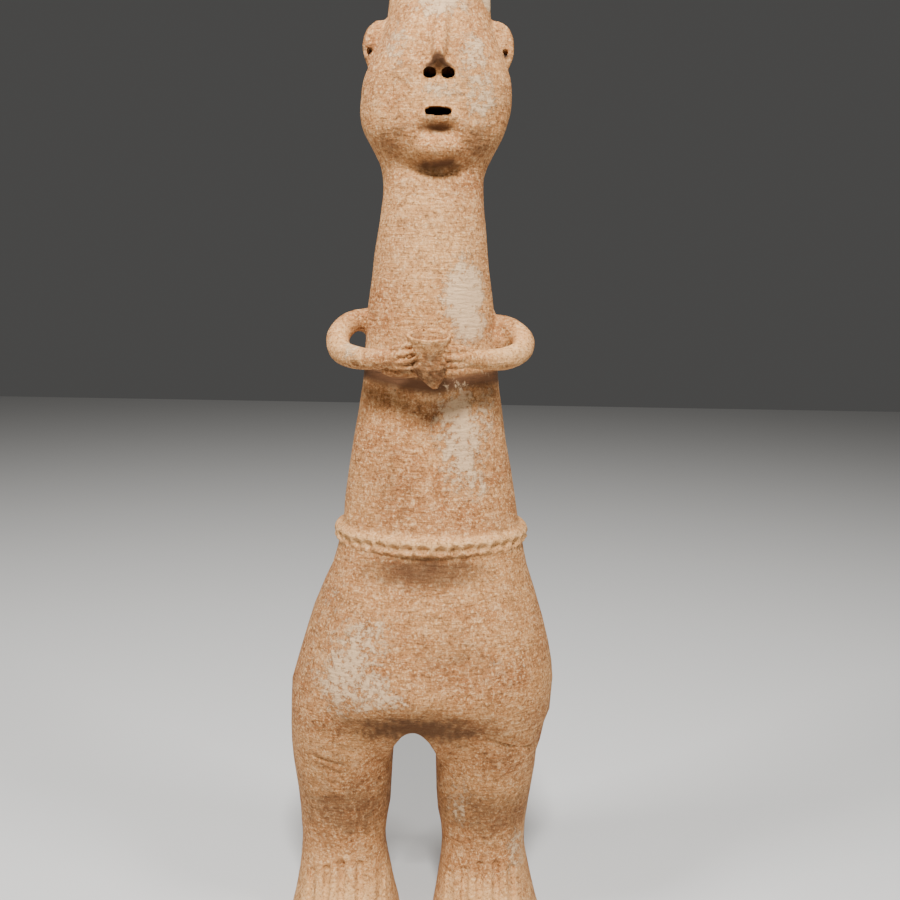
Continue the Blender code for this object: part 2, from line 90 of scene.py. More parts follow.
# %% Read a table of level sections
def through(keys, values, at):
    """A smooth curve through the values at their keys, read at the given keys."""
    keys = np.asarray(keys, dtype=float)
    values = np.asarray(values, dtype=float)
    at = np.clip(at, keys[0], keys[-1])
    slope = np.gradient(values, keys)
    i = np.clip(np.searchsorted(keys, at) - 1, 0, len(keys) - 2)
    gap = keys[i + 1] - keys[i]
    t = (at - keys[i]) / gap
    start = (1 + 2 * t) * (1 - t) ** 2 * values[i] + t * (1 - t) ** 2 * gap * slope[i]
    end = t * t * (3 - 2 * t) * values[i + 1] + t * t * (t - 1) * gap * slope[i + 1]
    return start + end


def section_at(sections, up):
    """Half width, half depth, aside and ahead of a form at one or more heights."""
    columns = np.array(sections, dtype=float).T
    return [through(columns[0], column, up) for column in columns[1:]]


# %% Skins, eggs and tubes
def new_object(name, mesh):
    """An object that shows a mesh."""
    thing = bpy.data.objects.new(name, mesh)
    bpy.context.collection.objects.link(thing)
    return thing


def skin_of_rings(name, rings, closed=False):
    """A skin over rings of points, with flat ends, or running round and back to its first ring."""
    form = bmesh.new()
    loops = [[form.verts.new(point) for point in ring] for ring in rings]
    count = len(loops[0])
    following = loops[1:] + loops[:1] if closed else loops[1:]
    for low, high in zip(loops, following):
        for i in range(count):
            form.faces.new((low[i], low[(i + 1) % count], high[(i + 1) % count], high[i]))
    if not closed:
        form.faces.new(reversed(loops[0]))
        form.faces.new(loops[-1])
    bmesh.ops.recalc_face_normals(form, faces=form.faces)
    mesh = bpy.data.meshes.new(name)
    form.to_mesh(mesh)
    form.free()
    return new_object(name, mesh)


def egg(name, centre, half_sizes):
    """An egg of clay, from its centre and half sizes in parts."""
    form = bmesh.new()
    bmesh.ops.create_icosphere(form, subdivisions=4, radius=PART)
    bmesh.ops.scale(form, vec=Vector(half_sizes), verts=form.verts)
    bmesh.ops.translate(form, vec=place(*centre), verts=form.verts)
    mesh = bpy.data.meshes.new(name)
    form.to_mesh(mesh)
    form.free()
    return new_object(name, mesh)


def roll(name, points, radii, sides=24, steps=8):
    """A roll of clay through points in metres, with its radius following the given ones."""
    keys = np.arange(len(points))
    at = np.linspace(0, len(points) - 1, steps * (len(points) - 1) + 1)
    line = np.array([through(keys, column, at) for column in np.array(points, dtype=float).T]).T
    thickness = through(keys, radii, at).tolist()
    turns = np.linspace(0, 2 * math.pi, sides, endpoint=False)
    rings = []
    side = Vector((0.3, 0.1, 1)).cross(Vector(line[1] - line[0]))
    for centre, direction, radius in zip(line, np.gradient(line, axis=0), thickness):
        along = Vector(direction).normalized()
        side = (side - along * side.dot(along)).normalized()
        other = along.cross(side)
        rings.append([Vector(centre) + (side * math.cos(t) + other * math.sin(t)) * radius for t in turns])
    return skin_of_rings(name, rings)


# %% [markdown]
# ## Trunk, head and legs
# The real body is coiled and scraped: oval all the way up, widest low on the hips and narrowest under
# the chin. A stack of ovals between measured heights gives that profile exactly. Slightly squared
# ovals (a superellipse) give the flatter front and back that a hand leaves.

# %% Level sections of the trunk and the head
# Up, half width, half depth, aside, ahead
TRUNK = [
    (150, 80, 22, -7, -2), (160, 96, 39, -6.5, -2), (172, 105.5, 52, -6, -2), (185, 110.5, 63, -5, -2),
    (198, 112.8, 70, -4.2, -2), (215, 112.6, 74, -3.3, -2), (230, 110.4, 73, -2.0, -1),
    (248, 106, 70, -0.8, -1), (284, 96, 64, 0.3, 0), (319, 83.3, 57, 1.5, 0), (337, 78.2, 54.5, 2.4, 0),
    (355, 74.8, 53, 2.4, 0), (372, 72.3, 51, 1.8, 0), (406, 67.4, 48, 0.6, 0), (439, 61.5, 45, 0, 0),
    (474, 56.5, 42, 0, 0), (520, 53, 40.5, 0, 0), (569, 47.6, 38, -0.3, 0), (601, 43.6, 36, -0.3, 0),
    (620, 41, 34.5, 0, 0), (633, 40.8, 34, 0, 0), (644, 44, 35, 0, 0), (653, 49, 37, 0, 0),
    (663, 54, 39, 0, 0), (677, 55, 41, 0.5, 0), (692, 50, 38, 1.5, 0),
]
HEAD = [
    (637, 16, 9, 2.5, 28), (643, 29, 21, 2, 21), (650, 42, 32, 1, 13), (662, 53.5, 41, 0.3, 8),
    (677, 58.8, 45, 0.7, 5), (692, 60, 46.5, 1.8, 4), (707, 58.3, 47, 2.3, 4), (722, 52, 46, 2.7, 3),
    (737, 45.5, 44, 3, 2), (752, 41, 41, 3, 1), (766, 40.5, 38.5, 3.5, 0), (780, 37.5, 36, 3, 0),
    (790, 31, 30, 3, 0), (797, 20, 20, 3, 0), (800, 8, 8, 3, 0),
]

# %% Level sections of one leg
# Up, half width, half depth, how far it leans inwards from the leg's axis, ahead
LEG = [
    (-8, 49.3, 58, 0, 20), (0, 49.3, 58, 0, 20), (10, 48.3, 56, 0, 18), (25, 44.5, 49, 0, 12),
    (44, 40.6, 42, 0, 5), (64, 37.6, 37.5, 0, 0), (83, 38.3, 36, 0.5, -1), (102, 40.5, 37, 1, -2),
    (121, 42.2, 40, 0.5, -2), (140, 44.6, 43, -0.5, -2), (163, 45.5, 49, -1, -2), (206, 46, 58, 0, -2),
]
LEGS_ASIDE = -9.5
LEG_SPREAD = 61.5
FEET_DRIFT = 4.2
FEET_DRIFT_TOP = 70


def leg_axis(side, up):
    """How far aside the axis of a leg is; both feet drift a little to the viewer's right."""
    return LEGS_ASIDE + side * LEG_SPREAD + FEET_DRIFT * max(0, 1 - up / FEET_DRIFT_TOP)


# %% Loft a form through its sections
TRUNK_SQUARENESS = 2.25
LIMB_SQUARENESS = 2.1


def oval(turn, half_width, half_depth, squareness):
    """A point of an oval, from a plain ellipse (2) to a squarer one."""
    across = math.copysign(abs(math.cos(turn)) ** (2 / squareness), math.cos(turn))
    along = math.copysign(abs(math.sin(turn)) ** (2 / squareness), math.sin(turn))
    return half_width * across, half_depth * along


def loft(name, sections, squareness, step=3, around=96):
    """A closed skin through level oval sections."""
    lowest, highest = sections[0][0], sections[-1][0]
    rings = []
    for up in np.linspace(lowest, highest, int((highest - lowest) / step) + 1):
        half_width, half_depth, aside, ahead = section_at(sections, up)
        ring = []
        for turn in np.linspace(0, 2 * math.pi, around, endpoint=False):
            across, along = oval(turn, half_width, half_depth, squareness)
            ring.append(place(aside + across, ahead - along, up))
        rings.append(ring)
    return skin_of_rings(name, rings)


# %% [markdown]
# ## Working pieces into one skin
# Wet clay is luted: the pieces are pushed together and the joins smeared over until one skin is left.
# A voxel remesh does the same to overlapping meshes, and the Smooth modifier smears the joins. The
# grain sets how fine the skin is: coarse for the big forms, fine for fingers and lips.

# %% Work together, cut and measure
def settle(thing):
    """Turns an object's modifiers and its placing into its mesh."""
    bpy.context.view_layer.update()
    shown = thing.evaluated_get(bpy.context.evaluated_depsgraph_get())
    mesh = bpy.data.meshes.new_from_object(shown)
    mesh.transform(thing.matrix_world)
    thing.modifiers.clear()
    thing.matrix_world = Matrix.Identity(4)
    thing.data = mesh


def gather(name, pieces):
    """Several pieces as one object, still overlapping."""
    form = bmesh.new()
    for piece in pieces:
        form.from_mesh(piece.data)
        bpy.data.objects.remove(piece)
    mesh = bpy.data.meshes.new(name)
    form.to_mesh(mesh)
    form.free()
    return new_object(name, mesh)


def work_together(name, pieces, grain, rounds):
    """One skin round overlapping pieces, with the joins between them smoothed over."""
    whole = gather(name, pieces)
    remesh = whole.modifiers.new("One skin", "REMESH")
    remesh.mode = "VOXEL"
    remesh.voxel_size = grain * PART
    smooth = whole.modifiers.new("Smoothed joins", "SMOOTH")
    smooth.factor = 0.5
    smooth.iterations = rounds
    settle(whole)
    return whole


def combine(thing, other, operation, solver="MANIFOLD"):
    """Joins another shape to an object, or takes its shape out."""
    change = thing.modifiers.new("Change", "BOOLEAN")
    change.operation = operation
    change.solver = solver
    change.object = other
    settle(thing)
    bpy.data.objects.remove(other)


# %% [markdown]
# ## The hips and the arch between the legs
# On the real figure two pads of clay make the hips, the viewer's right one hanging lower, and the
# legs part under a small pointed arch. The arch is cut before the legs go on, as a potter cuts it,
# so that the last smoothing rounds its edge together with the legs.

# %% Build the body
HIPS = [((-72, -2, 180), (44, 52, 29)), ((60, -2, 171), (43, 50.5, 27))]
ARCH_HALF_WIDTH = 18
ARCH_HEAD = 30
ARCH_TOP = 187
BODY_GRAIN = 3.0


def arch():
    """The opening between the legs, run through from front to back."""
    outline = [(-ARCH_HALF_WIDTH, 100), (ARCH_HALF_WIDTH, 100)]
    for turn in np.linspace(0, math.pi, 21):
        across, rise = oval(turn, ARCH_HALF_WIDTH, ARCH_HEAD, 1.6)
        outline.append((across, ARCH_TOP - ARCH_HEAD + rise))
    rings = [[place(LEGS_ASIDE + x, ahead, up) for x, up in outline] for ahead in (-120, 120)]
    return skin_of_rings("arch", rings)


hips = work_together(
    "hips", [loft("trunk", TRUNK, TRUNK_SQUARENESS)] + [egg("hip", *hip) for hip in HIPS], BODY_GRAIN, 4
)
combine(hips, arch(), "DIFFERENCE", "EXACT")
legs = []
for side in (-1, 1):
    sections = [
        (up, wide, hole_shade, leg_axis(side, up) - side * inwards, ahead)
        for up, wide, hole_shade, inwards, ahead in LEG
    ]
    legs.append(loft("leg", sections, LIMB_SQUARENESS))
body = work_together("body", [hips, loft("head", HEAD, LIMB_SQUARENESS)] + legs, BODY_GRAIN, 14)
print("Body:", len(body.data.vertices), "points")

# %% [markdown]
# ## The cup
# A little conical cup, pinched by hand, so its lip is not quite true. Under it the clay of both hands
# was dragged down into a rough spur. The cone is turned from a profile as on a wheel; a modelled
# cylinder with loop cuts would do as well, but the profile keeps the wall's thickness in one number.

# %% The cup's own axes, wall and spur
CUP_MIDDLE = (0, 72, 514)
CUP_LEAN = math.radians(14)
CUP_RIM_RADIUS = 17.3
CUP_FOOT_RADIUS = 13.5
CUP_WALL = 2.7
CUP_DEPTH = 21
CUP_FLOOR = 5
SPUR_TIP = (5, 70, 472.5)
cup_axes = Matrix.Translation(place(*CUP_MIDDLE)) @ Matrix.Rotation(CUP_LEAN, 4, "X")


def cup_radius(below_rim):
    """Outer radius of the cup at a depth below its rim."""
    return CUP_RIM_RADIUS - (CUP_RIM_RADIUS - CUP_FOOT_RADIUS) * below_rim / (CUP_DEPTH + CUP_FLOOR)


def turned(name, profile, sides=64):
    """A turned solid on the cup's axis, from (radius, height) pairs in parts, listed upwards."""
    turns = np.linspace(0, 2 * math.pi, sides, endpoint=False)
    rings = []
    for radius, height in profile:
        ring = [Vector((radius * math.cos(t), radius * math.sin(t), height)) for t in turns]
        rings.append([cup_axes @ (point * PART) for point in ring])
    return skin_of_rings(name, rings)


def cup_wall():
    """The cup's outside from the foot to a lip that is a little rounded."""
    foot = CUP_DEPTH + CUP_FLOOR
    profile = [(cup_radius(below), -below) for below in np.linspace(foot, 1.0, 18)]
    return turned("cup_wall", profile + [(cup_radius(0) - 0.35, -0.25), (cup_radius(0) - 0.9, 0)])


def cup_inside():
    """The cup's empty inside, as a cutter that ends above the lip."""
    bore = CUP_RIM_RADIUS - CUP_WALL
    low = cup_radius(CUP_DEPTH) - CUP_WALL
    profile = [(low * 0.45, -CUP_DEPTH), (low * 0.8, -CUP_DEPTH * 0.95), (low, -CUP_DEPTH * 0.82)]
    profile += [(low + (bore - low) * t, -CUP_DEPTH * 0.82 * (1 - t)) for t in np.linspace(0.1, 0.9, 9)]
    return turned("cup_inside", profile + [(bore + 0.2, 0), (bore + 3, 12)])


# %% [markdown]
# ## Arms and hands
# Each arm is one roll of clay that leaves the shoulder, bends round the elbow and comes in to the cup,
# where it is flattened and slit into fingers. Rolls through a few points do for the arm, and small
# tapered rolls fanned over the end of it make fingers that the remesh then lutes on.

# %% Roll the arms
ARM_DIAMETER = 19.5
WRIST_DIAMETER = 16.5
ARM_HEIGHTS = ((520.5, 494), (517.5, 495))


def hand_place(side):
    """Where the arm ends against the side of the cup."""
    return place(CUP_MIDDLE[0] + side * (CUP_RIM_RADIUS + 3.4), CUP_MIDDLE[1], CUP_MIDDLE[2] - 17.3)


def arm(side, top, underside):
    """One arm from the shoulder, out round the elbow and in to the cup."""
    route = [
        place(side * 40, 0, top - 3), place(side * 58, 3, top + 1), place(side * 69, 8, top - 4),
        place(side * 74, 17, (top + underside) / 2), place(side * 70, 31, underside + 4),
        place(side * 57, 47, underside), place(side * 40, 60, underside), hand_place(side),
    ]
    full, wrist = ARM_DIAMETER / 2, WRIST_DIAMETER / 2
    radii = [full * 1.3, full, full, full, full, full, wrist, wrist * 0.8]
    return roll("arm", route, [radius * PART for radius in radii])


# %% Fingers pressed to the cup
# For each finger: the places it runs through from the wrist to the tip, and its thickness at both
LEFT_FINGERS = [
    ([(-39, 61, 496.5), (-24, 71.8, 503), (-13, 77.5, 506)], 2.8, 1.9),
    ([(-39, 62, 495), (-23, 74.5, 498.4), (-11, 79.5, 501)], 2.9, 2.0),
    ([(-38, 62, 493), (-22, 74.5, 493.2), (-10.5, 79.5, 495.5)], 2.9, 2.0),
    ([(-35, 64, 491.5), (-19, 74, 488.8), (-7.5, 79.5, 490.3)], 2.8, 2.0),
]
RIGHT_FINGERS = [
    ([(39, 61, 498), (23, 72.6, 502.8), (13, 77.5, 503.4)], 3.5, 2.8),
    ([(39, 62, 496), (23, 75.2, 497.3), (12.5, 79.8, 497)], 3.6, 2.9),
    ([(38, 62, 494), (22, 74.8, 491.5), (12, 79.2, 490.8)], 3.5, 2.8),
]


def fingers(shapes):
    """Tapered fingers that fan out from the wrist and end on the cup."""
    made = []
    for route, thick, thin in shapes:
        sizes = [thick * PART, thick * PART, thin * PART]
        made.append(roll("finger", [place(*stop) for stop in route], sizes, sides=16))
    return made


# %% Lay on the arms, the hands, the spur and the loose clay
ARMPIT_CLAY = ((56, 3, 508), (9, 12, 16))
UNDER_HAND_CLAY = ((-19, 60, 485.5), (18, 9, 6))


def cup_core():
    """Rough clay under and inside the cup, and the spur that hangs from it."""
    foot = CUP_DEPTH + CUP_FLOOR
    core = turned("core", [(cup_radius(foot) * 0.95, -foot), (cup_radius(foot / 2) * 0.9, -foot / 2)])
    top = cup_axes @ (Vector((0, -1, -0.75 * CUP_DEPTH)) * PART)
    middle = place(*SPUR_TIP).lerp(top, 0.45)
    sizes = [CUP_FOOT_RADIUS * share * PART for share in (1.05, 0.86, 0.16)]
    return [core, roll("spur", [top, middle, place(*SPUR_TIP)], sizes)]


limbs = [egg("armpit", *ARMPIT_CLAY)] + [arm(side, *heights) for side, heights in zip((-1, 1), ARM_HEIGHTS)]
hands = [egg("under_hand", *UNDER_HAND_CLAY), cup_wall()] + cup_core()
hands += fingers(LEFT_FINGERS) + fingers(RIGHT_FINGERS)
print("Arms, hands and cup:", len(limbs) + len(hands), "pieces of clay")

# %% [markdown]
# ## The waist band
# A strip of clay was laid round the waist, highest at the back and sagging a little in front. Its
# section is a low pad, fuller below. The fingertip dimples are pressed later, when the skin is one.

# %% Lay the band round the waist
BAND_UP = 349.3
BAND_HEIGHT = 15.2
BAND_REACH = 6.4
BAND_DIP = 2.5


def band():
    """The strip round the waist, before it is pressed."""
    half_width, half_depth, aside, ahead = section_at(TRUNK, BAND_UP)
    rings = []
    for turn in np.linspace(0, 2 * math.pi, 240, endpoint=False):
        foot = place(aside + half_width * math.cos(turn), ahead - half_depth * math.sin(turn), BAND_UP)
        foot.z += BAND_DIP * PART * math.sin(turn)
        out = Vector((half_depth * math.cos(turn), half_width * math.sin(turn), 0)).normalized()
        ring = []
        for angle in np.linspace(0, 2 * math.pi, 20, endpoint=False):
            across, rise = oval(angle, BAND_REACH, BAND_HEIGHT / 2, 2.8)
            reach = across * (1 - 0.25 * math.sin(angle))
            ring.append(foot + (out * reach + Vector((0, 0, rise))) * PART)
        rings.append(ring)
    return skin_of_rings("band", rings, closed=True)


# %% [markdown]
# ## Nose, lips, chin and ears
# The face is as plain as a mask: a pinched ridge for the nose, a slot for the mouth between slight
# lips, no eyes, and two flat ears like handles. Small eggs and one tapered roll are enough, because
# the holes and hollows that give it life are pressed into the finished skin.

# %% Lay on the face
FACE_ASIDE = 4
NOSE_RIDGE = [
    (6.5, 37, 758), (6, 40, 748), (5.5, 44.2, 736), (4.6, 49.5, 724), (3.6, 53.5, 714), (3.6, 49, 706.5)
]
NOSE_SIZES = [4.0, 5.4, 6.4, 6.6, 5.8, 4.2]
NOSE_WINGS = [((-1.5, 49.5, 708), (6, 5, 4.5)), ((9.5, 49.5, 708), (6, 5, 4.5))]
LIPS = ((FACE_ASIDE, 46.5, 672.5), (16, 7, 8))
CHIN = ((FACE_ASIDE, 37.5, 652), (20, 14, 13))
EARS = [((-42, 5, 730.5), (15, 5, 21.5)), ((46.5, 5, 731), (16, 5, 21.5))]

face = [roll("nose", [place(*point) for point in NOSE_RIDGE], [size * PART for size in NOSE_SIZES])]
face += [egg("lips", *LIPS), egg("chin", *CHIN)] + [egg("side", *shape) for shape in NOSE_WINGS + EARS]

# %% [markdown]
# ## One skin over everything
# The hands and the cup are small, so they are worked together on a finer grain of their own and joined
# to the rest with a Boolean. One fine grain for the whole figure would do as well, but it would make
# millions of faces on plain walls, where they show nothing.

# %% Work everything into one skin
SKIN_GRAIN = 1.35
HAND_GRAIN = 0.75
clay_figure = work_together("fired_clay_figure", [body, band()] + limbs + face, SKIN_GRAIN, 5)
combine(clay_figure, work_together("hands", hands, HAND_GRAIN, 3), "UNION")
print("One skin:", len(clay_figure.data.vertices), "points")

# %% [markdown]
# ## Poking the holes
# The nostrils, the mouth, the ear holes and the hole in the crown were poked with a stick, so they are
# plain rods and a slot. All cutters that do not touch are gathered and taken out with one Boolean.

# %% Cutters for the holes
NOSTRIL_SIZE = (8.8, 6.6, 24)
NOSTRILS = [(-2.9, 54, 702.5), (10.9, 54, 702.5)]
EAR_HOLES = [(-50.3, 5, 726), (54.3, 5, 726)]
CROWN_HOLE = (-32.5, 18, 766)
MOUTH_UP = 676
MOUTH_SIZE = (19.4, 6.2, 26)
MOUTH_SQUARENESS = 2.5
FACE_AHEAD = 54


def rod(name, mouth, inwards, width, height, depth, sides=28):
    """A round cutter that starts well outside its mouth and ends at its depth, in parts."""
    aim = (-Vector(inwards)).to_track_quat("Z", "Y").to_matrix().to_4x4()
    axes = Matrix.Translation(place(*mouth)) @ aim
    turns = np.linspace(0, 2 * math.pi, sides, endpoint=False)
    rings = []
    wall = [(reach, 1) for reach in np.linspace(-depth * 0.9, 20, 18)]
    for reach, share in [(-depth, 0.7)] + wall:
        across = [(width / 2 * share * math.cos(t), height / 2 * share * math.sin(t)) for t in turns]
        rings.append([axes @ (Vector((x, y, reach)) * PART) for x, y in across])
    return skin_of_rings(name, rings)


def mouth_slot():
    """A flat slot with round ends, cut straight back between the lips."""
    width, height, depth = MOUTH_SIZE
    turns = np.linspace(0, 2 * math.pi, 48, endpoint=False)
    outline = [oval(turn, width / 2, height / 2, MOUTH_SQUARENESS) for turn in turns]
    rings = []
    for back in np.linspace(-20, depth, 24):
        rings.append([place(FACE_ASIDE + x, FACE_AHEAD - back, MOUTH_UP + z) for x, z in outline])
    return skin_of_rings("mouth", rings)


# %% Poke the holes and level the soles
def below_the_soles():
    """What lies below the soles."""
    ring = [(-1, -1), (1, -1), (1, 1), (-1, 1)]
    return skin_of_rings("below", [[place(200 * x, -200 * y, up) for x, y in ring] for up in (-30, 0)])


rise = math.radians(12)
cutters = [below_the_soles(), cup_inside(), mouth_slot()]
cutters += [rod("nostril", spot, (0, math.cos(rise), math.sin(rise)), *NOSTRIL_SIZE) for spot in NOSTRILS]
cutters += [rod("ear_hole", spot, (0, 1, -0.55), 2.9, 2.9, 20) for spot in EAR_HOLES]
cutters.append(rod("crown_hole", CROWN_HOLE, (0.8, 0.5, -0.2), 3.2, 3.2, 14))
combine(clay_figure, gather("holes", cutters), "DIFFERENCE")
print("After the holes:", len(clay_figure.data.vertices), "points")

# %% [markdown]
# ## Pressing and scratching
# Everything else is pressed into the skin. The points of the mesh are read as one array in parts, each
# press moves the points near it along a given way, and the array is written back at the end. A Displace
# modifier with a texture could do one kind of mark, but here each mark has its own place and tool.

# %% Read the skin, and the tools that press it
def read_points(thing):
    """The points of a mesh as (aside, ahead, up) in parts."""
    flat = np.empty(len(thing.data.vertices) * 3, dtype=np.float32)
    thing.data.vertices.foreach_get("co", flat)
    return flat.reshape(-1, 3).astype(float) / PART * (1, -1, 1)


def read_normals(thing):
    """The way each point faces, as (aside, ahead, up)."""
    flat = np.empty(len(thing.data.vertices) * 3, dtype=np.float32)
    thing.data.vertices.foreach_get("normal", flat)
    return flat.reshape(-1, 3).astype(float) * (1, -1, 1)


def bell(distance):
    """A soft bump: one at nothing, and close to nothing at two."""
    return np.exp(-distance ** 2)


def around(points, centre, half_sizes):
    """A soft bump round a place, as wide as the half sizes."""
    return bell(np.linalg.norm((points - centre) / half_sizes, axis=1))


def along(points, route, half_width, ends=0.0, edge=2):
    """A bump along a route of places; it can fade towards both ends, and a higher edge is sharper."""
    nearest = np.full(len(points), 1e9)
    share = np.zeros(len(points))
    stops = np.linspace(0, 1, len(route))
    for i in range(len(route) - 1):
        start, step = np.array(route[i], float), np.subtract(route[i + 1], route[i])
        t = np.clip((points - start) @ step / (step @ step), 0, 1)
        away = np.linalg.norm(points - start - t[:, None] * step, axis=1)
        closer = away < nearest
        nearest[closer] = away[closer]
        share[closer] = (stops[i] + t * (stops[i + 1] - stops[i]))[closer]
    fade = np.clip(np.minimum(share, 1 - share) / ends, 0, 1) if ends else 1
    return np.exp(-(nearest / half_width) ** edge) * fade


points = read_points(clay_figure)
normals = read_normals(clay_figure)
print("The skin spans", np.round(points.min(axis=0), 1), "to", np.round(points.max(axis=0), 1))

# %% [markdown]
# ## The unevenness of a hand-built wall
# A coiled and scraped wall is never true: it swells and sinks by half a millimetre from hand to hand.
# A few waves in scattered directions, added up, give such a wandering field at any size asked for. It
# only ever presses inwards, so the figure never outgrows the solid.

# %% Let the wall wander
def wander(points, wavelength, seed, waves=14):
    """A soft field between about 0 and 1 that wanders over the given distance."""
    chance = np.random.default_rng(seed)
    ways = chance.normal(size=(waves, 3))
    ways /= np.linalg.norm(ways, axis=1)[:, None]
    rates = 2 * math.pi / (wavelength * chance.uniform(0.7, 1.5, waves))
    phases = chance.uniform(0, 2 * math.pi, waves)
    field = np.sin((points @ ways.T) * rates + phases).sum(axis=1) / math.sqrt(waves / 2)
    return np.clip(0.5 + 0.28 * field, 0, 1)


plain_wall = 1 - np.clip(around(points, (2, 62, 498), (44, 30, 32)) * 1.3, 0, 1)
hollow = (0.9 * wander(points, 70, 1) + 0.5 * wander(points, 26, 2)) * plain_wall
hollow += 0.16 * wander(points, 7, 3) + 0.10 * wander(points, 3.6, 4)
points -= normals * hollow[:, None]
print("The wall wanders by up to", round(hollow.max(), 2), "parts")

# %% [markdown]
# ## Fingertip dimples in the band
# A fingertip was pressed into the band again and again, a finger's breadth apart. Each dimple has a
# sharp upper lip and pushes a small lobe of clay down below it. They are set out from the middle of
# the front, where the real band has one wider space, and each is a little off in place and depth.

# %% Press the band
DIMPLE_PITCH = 11.8
FRONT_SPACE = 15.0
FRONT_MIDDLE = 4.0
DIMPLE_DROP = 2.5
DIMPLE_HALF_WIDTH = 5.0
DIMPLE_HALF_HEIGHTS = (3.5, 3.4)
DIMPLE_DEPTHS = (3.9, 4.9)
LOBE_DROP = 5.1
LOBE_HALF_SIZES = (3.7, 2.4)
LOBE_PUSH = 1.4


def press_band(points):
    """Presses the row of dimples all the way round."""
    half_width, half_depth, aside, ahead = section_at(TRUNK, BAND_UP)
    half_width, half_depth = half_width + BAND_REACH, half_depth + BAND_REACH
    turns = np.linspace(-math.pi, math.pi, 1441)
    edge = np.stack([half_width * np.sin(turns), half_depth * np.cos(turns)], axis=1)
    run = np.concatenate([[0], np.cumsum(np.linalg.norm(np.diff(edge, axis=0), axis=1))])
    run -= np.interp(math.asin((FRONT_MIDDLE - aside) / half_width), turns, run)
    x, y = points[:, 0] - aside, points[:, 1] - ahead
    turn = np.arctan2(x / half_width, y / half_depth)
    where = np.interp(turn, turns, run)
    level = points[:, 2] - (BAND_UP - BAND_DIP * np.cos(turn) - DIMPLE_DROP)
    outside = np.clip((np.hypot(x / half_width, y / half_depth) - 0.93) / 0.03, 0, 1)
    chance = np.random.default_rng(7)
    count = int((run[-1] - run[0] - FRONT_SPACE) / DIMPLE_PITCH) + 1
    inwards = np.zeros(len(points))
    down = np.zeros(len(points))
    for k in range(count):
        step = FRONT_SPACE / 2 + DIMPLE_PITCH * (k // 2)
        centre = (step if k % 2 else -step) + chance.uniform(-0.7, 0.7)
        off = where - centre
        up_off = level - chance.uniform(-0.5, 0.5)
        above, below = DIMPLE_HALF_HEIGHTS
        tall = np.where(up_off > 0, up_off / above, up_off / below)
        thumb = np.exp(-(np.hypot(off / DIMPLE_HALF_WIDTH, tall) ** 4))
        inwards += thumb * chance.uniform(*DIMPLE_DEPTHS)
        down += bell(off / LOBE_HALF_SIZES[0]) * bell((level + LOBE_DROP) / LOBE_HALF_SIZES[1])
    inwards *= outside
    points[:, 0] -= inwards * np.sin(turn)
    points[:, 1] -= inwards * np.cos(turn)
    points[:, 2] -= LOBE_PUSH * down * outside
    return count


print("Dimples pressed:", press_band(points))

# %% [markdown]
# ## Toes, folds and creases
# The toes are only parted by grooves drawn with a round stick, each with a rounded start on the
# instep. Where the hips meet the legs, the wet clay sagged into a fold on one side and cracked into
# creases on the other. All of these are lines, so one tool serves them: a soft groove along a route.

# %% Draw the grooves between the toes
# How far aside each groove starts on the instep, how high, and how deep it is
TOE_GROOVES = {
    -1: [(-94, 53, 2.4), (-81.5, 58, 3.2), (-68.8, 62.5, 3.4), (-54, 61, 3.2), (-37, 50, 1.6)],
    1: [(24, 51, 1.8), (36, 57.5, 3.2), (48.7, 64, 3.4), (62.4, 64, 3.2), (75.7, 58, 2.8)],
}
GROOVE_HALF_WIDTH = 3.0
GROOVE_GAIN = 1.25
flat = points * (1, 0, 1)
front = np.clip((points[:, 1] - 8) / 6, 0, 1)
for side, grooves in TOE_GROOVES.items():
    for start, top, depth in grooves:
        fan = start - leg_axis(side, 0)
        route = [(start, 0, top), (start + 0.04 * fan, 0, 30), (start + 0.16 * fan, 0, -6)]
        groove = GROOVE_GAIN * depth * along(flat, route, GROOVE_HALF_WIDTH, edge=6) * front
        points[:, 1] -= 0.85 * groove
        points[:, 2] -= 0.45 * groove
print("Toe grooves:", sum(len(grooves) for grooves in TOE_GROOVES.values()))

# %% Press the folds and creases
# A route, its half width, its depth, and how far the clay swells just above it
FOLDS = [
    ([(-97, 39, 164), (-87, 44, 161), (-77, 45.5, 158), (-63, 43, 153)], 2.0, 2.0, 0.8),
    ([(-90, 42, 157), (-81, 43.5, 152), (-72, 43, 148), (-62, 42, 146)], 1.6, 1.6, 0.6),
    ([(-80, 49, 178), (-68, 48, 171), (-52, 43, 165)], 3.0, 1.3, 0.8),
    ([(48, 54, 187), (60, 50, 180), (72, 45, 175), (92, 30, 169), (100, 12, 166)], 3.4, 3.2, 1.8),
    ([(44, 47, 168), (56, 46, 162), (70, 43, 160)], 4.0, 1.0, 0.5),
]
for route, half_width, depth, swell in FOLDS:
    points -= normals * (depth * along(points, route, half_width, ends=0.25))[:, None]
    above = [(aside, ahead + 1, up + 2.6 * half_width) for aside, ahead, up in route]
    points += normals * (swell * along(points, above, 1.6 * half_width, ends=0.3))[:, None]

